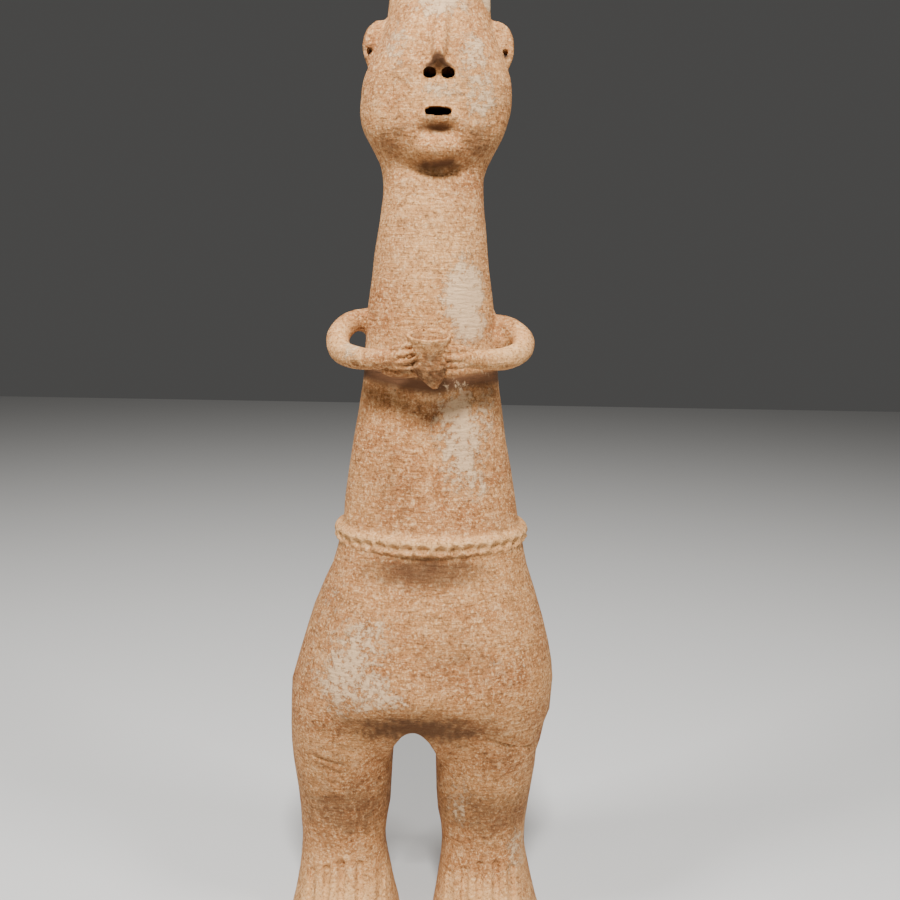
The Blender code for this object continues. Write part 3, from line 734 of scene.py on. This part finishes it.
# %% Press in the fold under the belly
BELLY_FOLD = [(-90, 47, 180), (-66, 56, 187), (-46, 62, 193), (-25, 66, 199), (-6, 67, 202), (13, 66, 202),
              (30, 64, 198), (45, 58, 190), (57, 50, 181)]
BELLY_FOLD_DEPTH = 3.4
BELLY_SWELL = 1.4
UNDER_BELLY = ((-9, 68, 182), (58, 34, 24))
UNDER_BELLY_PUSH = 12
points -= normals * (BELLY_FOLD_DEPTH * along(points, BELLY_FOLD, 13, ends=0.2))[:, None]
over_the_fold = [(aside, ahead + 4, up + 19) for aside, ahead, up in BELLY_FOLD]
points += normals * (BELLY_SWELL * along(points, over_the_fold, 12, ends=0.3))[:, None]
points[:, 1] -= UNDER_BELLY_PUSH * around(points, np.array(UNDER_BELLY[0]), UNDER_BELLY[1])
print("The belly is pressed back by up to", UNDER_BELLY_PUSH, "parts")

# %% [markdown]
# ## Face and hands
# Hollows beside the nose, under the lips and under the chin give the mask its relief. On the hands,
# slits part the fingers: short deep gaps on one hand, two fine lines on the other.

# %% Press the face
# Centre, half sizes and how far back the clay is pushed
FACE_HOLLOWS = [
    ((FACE_ASIDE - 17, 50, 712), (10, 30, 13), 2.0),
    ((FACE_ASIDE + 17, 50, 712), (10, 30, 13), 2.0),
    ((FACE_ASIDE, 50, 663.5), (16, 12, 4.4), 3.4),
    ((FACE_ASIDE, 36, 637), (22, 16, 6), 6.0),
    ((FACE_ASIDE, 54, 704), (11, 12, 4.5), 3.0),
]
for centre, half_sizes, depth in FACE_HOLLOWS:
    points[:, 1] -= depth * around(points, np.array(centre), half_sizes)

# %% Slit the fingers
# A route, its half width and its depth
SLITS = [
    ([(-19, 76, 501.5), (-13, 78.5, 503)], 1.2, 1.2),
    ([(-24, 74, 496), (-11.5, 79, 497.8)], 1.3, 1.3),
    ([(-17, 76, 491), (-8, 80, 492.5)], 1.2, 1.2),
    ([(12.5, 80, 499.8), (21, 76.5, 500.3), (29, 71, 501)], 1.1, 1.5),
    ([(13, 80, 493.8), (21, 77, 494.4), (28.5, 72, 495.5)], 1.1, 1.6),
]
for route, half_width, depth in SLITS:
    points -= normals * (depth * along(points, route, half_width))[:, None]

# %% Chip the elbow, scratch the seam, crack the crown
CHIP = np.array((-57.5, 58.5, 487.5))
points -= normals * (3.0 * np.exp(-(np.linalg.norm((points - CHIP) / (4.6, 5, 4.2), axis=1) ** 4)))[:, None]
SEAM = [(-55.5, 60.5, 491.5), (-53.5, 61.5, 495), (-52.5, 60, 499.5), (-54, 54, 503)]
points += normals * (0.45 * along(points, SEAM, 1.1, ends=0.2))[:, None]
CROWN_CRACK = [
    (31, 29, 775), (33, 27.5, 768), (36, 25, 761.5), (39.5, 20, 758.5), (43, 12, 755), (44, 4, 753)
]
points -= normals * (2.2 * along(points, CROWN_CRACK, 1.2))[:, None]
PITS = [(55.3, 13.2, 515.8), (59.5, 13.9, 509.5), (52.5, 17, 511), (57, 15, 519)]
for pit in PITS:
    points -= normals * (1.6 * around(points, np.array(pit), (1.6, 3, 1.6)))[:, None]
print("Slits:", len(SLITS), "and pits:", len(PITS))

# %% [markdown]
# ## A rough cup and spur
# The cup was pinched, not turned, so its wall wavers and its lip dips here and there, and the spur is
# torn. The same wandering field, kept to the cup's neighbourhood, takes the machine-made look away.

# %% Roughen the cup and the hands
at_cup = around(points, np.array((1, 74, 495)), (30, 22, 26))
for way, seed in ((0, 21), (1, 22), (2, 23)):
    points[:, way] += at_cup * (wander(points, 17, seed) - 0.5) * 1.3
at_spur = around(points, np.array((1, 72, 486)), (20, 18, 14))
rough = 1.1 * wander(points, 6, 24) + 0.6 * wander(points, 3, 25) + 0.3 * wander(points, 1.9, 26)
points -= normals * (at_spur * rough)[:, None]

# %% Put the pressed skin back and set it in the solid's place
corners = np.array(clay_figure.bound_box)
own_low, own_high = Vector(corners.min(axis=0)), Vector(corners.max(axis=0))
shift = (solid_low + solid_high) / 2 - (own_low + own_high) / 2
shift.z = solid_low.z - own_low.z
points[:, 2] = np.clip(points[:, 2], 0, None)
clay_figure.data.vertices.foreach_set("co", (points * PART * (1, -1, 1)).astype(np.float32).ravel())
clay_figure.data.update()
print("The skin moves by", [round(move * 1000, 2) for move in shift], "mm into the solid's place")

# %% [markdown]
# ## Where the skin needs to be fine
# Hands, face, band and toes need every point, while the plain wall looks the same with fewer. Decimate
# takes a weight for each point: none where the skin is worked, full where it is plain.

# %% Thin the plain wall
MOST_TRIANGLES = 190000
worked = np.maximum.reduce([
    around(points, np.array((4, 50, 690)), (46, 60, 52)) * 2,
    around(points, np.array((0, 60, 497)), (80, 60, 24)) * 2,
    bell((points[:, 2] - BAND_UP + 3) / 9) * 2,
    around(points, np.array((-66, 50, 35)), (40, 60, 40)) * 1.5,
    around(points, np.array((56, 50, 35)), (40, 60, 40)) * 1.5,
    around(points, np.array((-78, 44, 158)), (32, 30, 24)) * 1.5,
    around(points, np.array((-9, 50, 180)), (34, 40, 24)) * 2,
    around(points, np.array((40, 18, 762)), (14, 30, 14)) * 1.5,
])
group = clay_figure.vertex_groups.new(name="plain")
plain = np.round(np.clip(1 - worked, 0, 1), 1)
for weight in np.unique(plain):
    if weight > 0:
        group.add(np.flatnonzero(plain == weight).tolist(), float(weight), "REPLACE")


def triangles(thing):
    """How many triangles an object's faces make."""
    return sum(len(polygon.vertices) - 2 for polygon in thing.data.polygons)


now = triangles(clay_figure)
if now > MOST_TRIANGLES:
    thin = clay_figure.modifiers.new("Thinned", "DECIMATE")
    thin.ratio = MOST_TRIANGLES / now
    thin.vertex_group = "plain"
    settle(clay_figure)
# Thinning can pull a point of the soles a hair below the floor
for point in clay_figure.data.vertices:
    point.co.z = max(point.co.z, 0)
clay_figure.vertex_groups.clear()
clay_figure.data.shade_smooth()
print("Triangles:", now, "thinned to", triangles(clay_figure))

# %% [markdown]
# ## Where time has marked the clay, and where light and shade are painted on
# Lime from the soil lies on the chest and one hip, old brown dirt on the cheeks and round the hands,
# and the feet and the edges of the band are paler. Painted shade darkens the clay under the nose, the
# lower lip and the chin, under the arms and the left hand, under the belly and in the folds of the hips.
# Painted light brightens the neck, the elbows and the outsides of the arms. Each mark is laid on the
# points as a soft attribute, edged by the wandering field, and the material reads it. Painting a texture
# would need an unwrapped map; attributes sit on the clay itself and follow it on every side.

# %% Lay the marks on the skin
points = read_points(clay_figure)
facing = read_normals(clay_figure)
ragged = wander(points, 16, 31) * 0.6 + wander(points, 6, 32) * 0.4


def patches(places, edge=0.35, gain=1.4):
    """Soft-edged patches, ragged where they end: (centre, half sizes, strength)."""
    laid = np.zeros(len(points))
    for centre, half_sizes, strength in places:
        mark = around(points, np.array(centre), half_sizes)
        laid = np.maximum(laid, strength * np.clip((mark - edge * ragged) * gain, 0, 1))
    return laid


# %% The places of lime, of dirt and painted shade, and of pale clay and painted light
# Centre, half sizes and strength of each patch
LIME = [
    ((26, 34, 544), (24, 30, 34), 0.95), ((32, 38, 520), (22, 30, 20), 0.85),
    ((24, 42, 455), (26, 30, 24), 0.7),
    ((26, 42, 440), (26, 30, 36), 0.74), ((30, 44, 405), (24, 30, 32), 0.7),
    ((46, 36, 450), (12, 30, 40), 0.55),
    ((-66, 56, 238), (42, 40, 36), 0.70), ((-50, 60, 268), (38, 40, 34), 0.64),
    ((-40, 66, 226), (42, 30, 18), 0.66),
    ((41, 14, 766), (8, 16, 11), 1.4),
    ((-80, 40, 300), (26, 40, 30), 0.45), ((4, 46, 754), (30, 30, 14), 0.7),
    ((4, 50, 690), (24, 14, 9), 0.6),
    ((-28, 40, 724), (16, 30, 26), 0.5), ((30, 42, 716), (16, 30, 28), 0.6),
    ((36, 40, 688), (16, 30, 26), 0.6),
    ((-60, 40, 499), (11, 30, 12), 0.7), ((30, 30, 120), (18, 40, 40), 0.5),
    ((80, 20, 70), (14, 40, 30), 0.55),
    ((10, -44, 420), (34, 24, 60), 0.6), ((-40, -60, 230), (34, 30, 30), 0.6),
    ((60, 40, 250), (40, 40, 40), 0.35),
]
DIRT_AND_SHADE = [
    # Painted shade under the lower lip and under the chin
    ((FACE_ASIDE, 44, 665), (15, 14, 4.6), 1.1), ((FACE_ASIDE, 34, 641), (24, 16, 7.5), 1.1),
    ((-28, 36, 660), (22, 24, 20), 0.65), ((34, 36, 657), (20, 24, 18), 0.65),
    ((-21, 44, 702), (18, 18, 14), 0.5),
    ((28, 44, 702), (18, 18, 14), 0.5), ((0, 72, 505), (12, 12, 9), 0.6),
    # Painted shade under the nose and under the left hand
    ((FACE_ASIDE - 0.5, 52, 708), (6, 12, 5), 1.1), ((-24, 62, 478), (16, 10, 6), 0.8),
    # Dirt round the spur, then painted shade under the belly
    ((0, 76, 488), (24, 20, 18), 0.8), ((-6, 60, 191), (80, 30, 25), 1.05),
    # Painted shade in the creases of the left thigh
    ((-78, 44, 160), (34, 24, 26), 0.5),
    # Painted shade in the fold of the right hip, then dirt on the legs
    ((66, 46, 166), (38, 28, 18), 0.5), ((-66, 20, 112), (64, 70, 42), 0.75),
    ((56, 20, 110), (64, 70, 42), 0.75),
    ((-57.5, 58, 487), (4, 5, 4), 1.4), ((0, 58, 325), (80, 40, 16), 1.0),
    ((20, 60, 262), (60, 40, 26), 0.55),
    ((-30, 50, 390), (34, 30, 46), 0.5), ((-10, 50, 440), (34, 30, 30), 0.4),
    ((0, 38, 600), (50, 30, 16), 0.4),
]
PALE_AND_LIT = [
    ((41, 14, 766), (8, 16, 11), 1.0), ((-66, 40, 28), (46, 60, 26), 1.0),
    ((56, 40, 28), (46, 60, 26), 1.0),
    # Painted light on the elbows
    ((-60, 40, 500), (22, 34, 13), 0.8), ((60, 42, 500), (24, 34, 12), 0.9),
    # Painted light on the neck
    ((0, 30, 585), (44, 40, 44), 0.5),
    # The second patch on this line and the one on the next line are painted light on the outsides of the
    # arms
    ((4, 60, 690), (30, 30, 14), 0.35), ((-68, 16, 508), (12, 20, 16), 0.6),
    ((70, 16, 506), (12, 20, 16), 0.6),
    ((90, 20, 30), (6, 14, 14), 0.8), ((-54, 60, 495), (4, 6, 6), 0.8),
    ((0, 72, 513.5), (20, 20, 3.2), 1.0),
]

# %% Lay the lime, the dirt and the pale clay
marks = {"lime": patches(LIME), "dirt_and_shade": patches(DIRT_AND_SHADE), "pale_and_lit": patches(PALE_AND_LIT)}
UNDER_NOSE = [(-4, 52, 706.5), (3.2, 57, 713), (10.5, 52, 706.5)]
UNDER_ARMS = [(-54, 8, 481), (-46, 24, 480), (-34, 35, 478), (-14, 42, 474), (4, 43, 472), (18, 41, 475),
              (32, 36.5, 477), (44, 27, 478), (54, 10, 479)]
# A dark line along the crown crack, and lines of painted shade under the nose and under the arms
for line, half_width in ((CROWN_CRACK, 1.8), (UNDER_NOSE, 4.0), (UNDER_ARMS, 8.0)):
    marks["dirt_and_shade"] = np.maximum(marks["dirt_and_shade"], 1.3 * along(points, line, half_width))
band_lip = bell((points[:, 2] - BAND_UP + 1) / 7) * np.clip((np.abs(facing[:, 2]) < 0.95), 0, 1)
marks["pale_and_lit"] = np.maximum(marks["pale_and_lit"], 0.9 * band_lip)
below_the_band = np.clip((360 - points[:, 2]) / 60, 0, 1)
above_the_feet = np.clip((points[:, 2] - 40) / 40, 0, 1)
marks["strokes"] = 0.3 + 0.7 * below_the_band * above_the_feet

# %% Painted shade in the holes
# A point well inside a poked hole is painted nearly black as shade, whatever its clay
HOLES = [(centre, (5.4, 30, 4.9)) for centre in NOSTRILS]
HOLES += [((FACE_ASIDE, 40, MOUTH_UP), (10.8, 22, 4.4))]
HOLES += [(centre, (1.6, 7, 2.2)) for centre in EAR_HOLES]
hole_shade = np.zeros(len(points))
for centre, half_sizes in HOLES:
    inside = (((points - centre) / half_sizes) ** 4).sum(axis=1) < 1.15
    hole_shade = np.maximum(hole_shade, inside * np.clip((47 - points[:, 1]) / 4, 0, 1))
marks["hole_shade"] = hole_shade
for name, amount in marks.items():
    layer = clay_figure.data.attributes.new(name, "FLOAT", "POINT")
    layer.data.foreach_set("value", amount.astype(np.float32))
    print(name, "covers", round(100 * float((amount > 0.3).mean()), 1), "% of the skin")

clay_figure.data.transform(Matrix.Translation(shift))
clay_figure.data.update()

# %% [markdown]
# ## Old fired clay
# The body colour drifts between tan and red-brown and is peppered with sand: pale and dark grains, and
# pits where grains fell out. A noise texture at each size does this, and colour ramps set how much of
# each shows. The marks are mixed over it. The clay is matt, so gloss stays low and even, and a bump
# of sand and of wiping strokes catches the light.

# %% Helpers for the clay's nodes
clay = bpy.data.materials.new("old fired clay")
clay.use_nodes = True
nodes, links = clay.node_tree.nodes, clay.node_tree.links
shader = nodes["Principled BSDF"]
coordinates = nodes.new("ShaderNodeTexCoord")


def stretched(scale):
    """The clay's own coordinates, scaled differently along each axis."""
    mapping = nodes.new("ShaderNodeMapping")
    mapping.inputs["Scale"].default_value = scale
    links.new(coordinates.outputs["Object"], mapping.inputs["Vector"])
    return mapping.outputs["Vector"]


def speckle(scale, detail=4.0, roughness=0.55, distortion=0.0, stretch=(1, 1, 1)):
    """A noise texture of so many grains to the metre."""
    noise = nodes.new("ShaderNodeTexNoise")
    noise.inputs["Scale"].default_value = scale
    noise.inputs["Detail"].default_value = detail
    noise.inputs["Roughness"].default_value = roughness
    noise.inputs["Distortion"].default_value = distortion
    links.new(stretched(stretch), noise.inputs["Vector"])
    return noise.outputs["Fac"]


def between(value, low, high):
    """Nothing below low, all above high, smooth in between."""
    ramp = nodes.new("ShaderNodeMapRange")
    ramp.interpolation_type = "SMOOTHSTEP"
    ramp.inputs["From Min"].default_value = low
    ramp.inputs["From Max"].default_value = high
    links.new(value, ramp.inputs["Value"])
    return ramp.outputs["Result"]


def reckon(operation, first, second):
    """A sum on two values, each a socket or a number."""
    step = nodes.new("ShaderNodeMath")
    step.operation = operation
    for socket, value in zip(step.inputs, (first, second)):
        if isinstance(value, (int, float)):
            socket.default_value = value
        else:
            links.new(value, socket)
    return step.outputs["Value"]


def over(amount, below, above):
    """One colour laid over another by an amount; each colour is a socket or three numbers."""
    mix = nodes.new("ShaderNodeMix")
    mix.data_type = "RGBA"
    links.new(amount, mix.inputs["Factor"])
    for socket, colour in ((mix.inputs["A"], below), (mix.inputs["B"], above)):
        if isinstance(colour, tuple):
            socket.default_value = (*colour, 1)
        else:
            links.new(colour, socket)
    return mix.outputs["Result"]


def mark(name):
    """A mark that was laid on the skin."""
    layer = nodes.new("ShaderNodeAttribute")
    layer.attribute_name = name
    return layer.outputs["Fac"]


def tinted(amount, share, below, above):
    """One colour laid over another by a share of an amount."""
    return over(reckon("MULTIPLY", amount, share), below, above)


# %% Colour the clay
TAN = (0.460, 0.205, 0.068)
RED_BROWN = (0.320, 0.118, 0.036)
# Dark earth, also used for painted shade
DARK_EARTH_AND_SHADE = (0.085, 0.035, 0.013)
LIME_WHITE = (0.590, 0.405, 0.235)
# Pale clay, also used for painted light
PALE_CLAY_AND_LIGHT = (0.600, 0.320, 0.125)
CREAM = (0.700, 0.455, 0.230)
# Painted shade inside the holes
HOLE_SHADE_BLACK = (0.020, 0.010, 0.007)

drift = between(speckle(14, 5, 0.6, 0.4), 0.34, 0.66)
cloud = between(speckle(60, 6, 0.65, 0.3), 0.36, 0.70)
colour = over(drift, TAN, RED_BROWN)
colour = tinted(cloud, 0.35, colour, PALE_CLAY_AND_LIGHT)
wiped = between(speckle(60, 4, 0.6, 0.3, (1, 1, 8)), 0.45, 0.72)
strokes = reckon("MULTIPLY", wiped, mark("strokes"))
colour = tinted(strokes, 0.35, colour, DARK_EARTH_AND_SHADE)
# The pale mark also paints light on the neck, the elbows and the outsides of the arms
colour = over(mark("pale_and_lit"), colour, PALE_CLAY_AND_LIGHT)
mottle = speckle(150, 6, 0.75)
colour = tinted(between(mottle, 0.50, 0.64), 0.35, colour, CREAM)
colour = tinted(between(reckon("SUBTRACT", 1, mottle), 0.51, 0.64), 0.35, colour, DARK_EARTH_AND_SHADE)
sand = speckle(430, 4, 0.8)
colour = tinted(between(sand, 0.53, 0.62), 0.68, colour, CREAM)
colour = tinted(between(reckon("SUBTRACT", 1, sand), 0.54, 0.63), 0.72, colour, DARK_EARTH_AND_SHADE)

# %% Lay the dirt and painted shade, the lime and the painted shade in the holes over the clay
# The dirt mark also carries painted shade under the nose, lip, chin, arms, left hand and belly and in the
# hip folds
crumbs = speckle(200, 6, 0.75)
spotted = between(reckon("ADD", reckon("MULTIPLY", mark("dirt_and_shade"), 0.6), crumbs), 0.60, 1.00)
dirt_and_shade = reckon("MULTIPLY", mark("dirt_and_shade"), spotted)
colour = tinted(dirt_and_shade, 0.88, colour, DARK_EARTH_AND_SHADE)
lime_flakes = between(reckon("ADD", reckon("MULTIPLY", mark("lime"), 0.5), crumbs), 0.70, 0.84)
lime = reckon("MULTIPLY", lime_flakes, between(mark("lime"), 0.02, 0.35))
colour = tinted(lime, 0.8, colour, LIME_WHITE)
stray = between(speckle(120, 7, 0.85), 0.60, 0.68)
colour = tinted(stray, 0.45, colour, CREAM)
# Painted shade: the insides of the holes go nearly black
colour = over(mark("hole_shade"), colour, HOLE_SHADE_BLACK)
links.new(colour, shader.inputs["Base Color"])

# %% Give the clay its grain
shader.inputs["Roughness"].default_value = 0.9
shader.inputs["Specular IOR Level"].default_value = 0.25
height = reckon("MULTIPLY", sand, 0.5)
height = reckon("ADD", height, reckon("MULTIPLY", speckle(150, 4, 0.6), 0.7))
height = reckon("ADD", height, reckon("MULTIPLY", speckle(75, 3, 0.5, 0.2, (1, 1, 6)), 0.9))
height = reckon("ADD", height, reckon("MULTIPLY", lime, 0.35))
bump = nodes.new("ShaderNodeBump")
bump.inputs["Strength"].default_value = 0.9
bump.inputs["Distance"].default_value = 0.0013
links.new(height, bump.inputs["Height"])
links.new(bump.outputs["Normal"], shader.inputs["Normal"])
clay_figure.data.materials.clear()
clay_figure.data.materials.append(clay)
print("The clay has", len(nodes), "nodes")

# %% [markdown]
# ## The figure takes the solid's place
# The finished skin stands for the solid, so the solid is hidden and the skin rides on its body.

# %% Hand the figure over
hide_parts("clay_figure")
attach(clay_figure, "root")

# %% [markdown]
# ## Floor, light and camera
# The figure stands on a plain pale floor. Three soft lamps stand above it, one on each side and one in
# front, so that every press casts a soft shadow below itself. The camera looks slightly down on it.

# %% Lay the floor
floor_form = bmesh.new()
bmesh.ops.create_grid(floor_form, x_segments=1, y_segments=1, size=4)
floor_mesh = bpy.data.meshes.new("floor")
floor_form.to_mesh(floor_mesh)
floor_form.free()
floor = new_object("floor", floor_mesh)
paper = bpy.data.materials.new("pale paper")
paper.use_nodes = True
paper.node_tree.nodes["Principled BSDF"].inputs["Base Color"].default_value = (0.62, 0.61, 0.59, 1)
paper.node_tree.nodes["Principled BSDF"].inputs["Roughness"].default_value = 0.9
floor.data.materials.append(paper)
floor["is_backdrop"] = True

# %% Light the figure
world = bpy.data.worlds.new("studio")
world.use_nodes = True
world.node_tree.nodes["Background"].inputs["Color"].default_value = (0.80, 0.79, 0.77, 1)
world.node_tree.nodes["Background"].inputs["Strength"].default_value = 0.09
bpy.context.scene.world = world


def soft_lamp(name, spot, aim, size, power):
    """A square soft lamp at a spot, facing a point."""
    lamp = bpy.data.lights.new(name, "AREA")
    lamp.size = size
    lamp.energy = power
    holder = new_object(name, lamp)
    holder.location = spot
    holder.rotation_euler = (Vector(aim) - Vector(spot)).to_track_quat("-Z", "Y").to_euler()
    return holder


# Spot, aim, size in metres and power in watts of each lamp
LAMPS = {
    "left_lamp": ((-1.1, -0.55, 1.85), (0, 0, 0.40), 0.4, 34),
    "right_lamp": ((1.1, -0.6, 1.85), (0, 0, 0.40), 0.4, 23),
    "front_lamp": ((0.05, -1.17, 1.76), (0, 0, 0.36), 0.3, 62),
}
for name, settings in LAMPS.items():
    soft_lamp(name, *settings)
print("Lamps:", list(LAMPS))

# %% Place the camera
# The camera stands on the neck's axis, a little to the viewer's right, and looks down by 9 degrees
neck = Vector((shift.x, shift.y, 0))
CAMERA_STAND = Vector((0.017, -0.779, 0.5425))
CAMERA_LOOKS_DOWN = math.radians(9.25)
CAMERA_TIPS = math.radians(1.0)
camera = new_object("camera", bpy.data.cameras.new("camera"))
camera.data.lens = 38
camera.data.sensor_width = 36
spot = neck + CAMERA_STAND * (solid_high.z / 0.8)
down = Matrix.Rotation(math.radians(90) - CAMERA_LOOKS_DOWN, 4, "X")
roll_of_camera = Matrix.Rotation(CAMERA_TIPS, 4, "Z")
camera.matrix_world = Matrix.Translation(spot) @ down @ roll_of_camera
bpy.context.scene.camera = camera
print("Camera at", [round(value, 3) for value in spot])
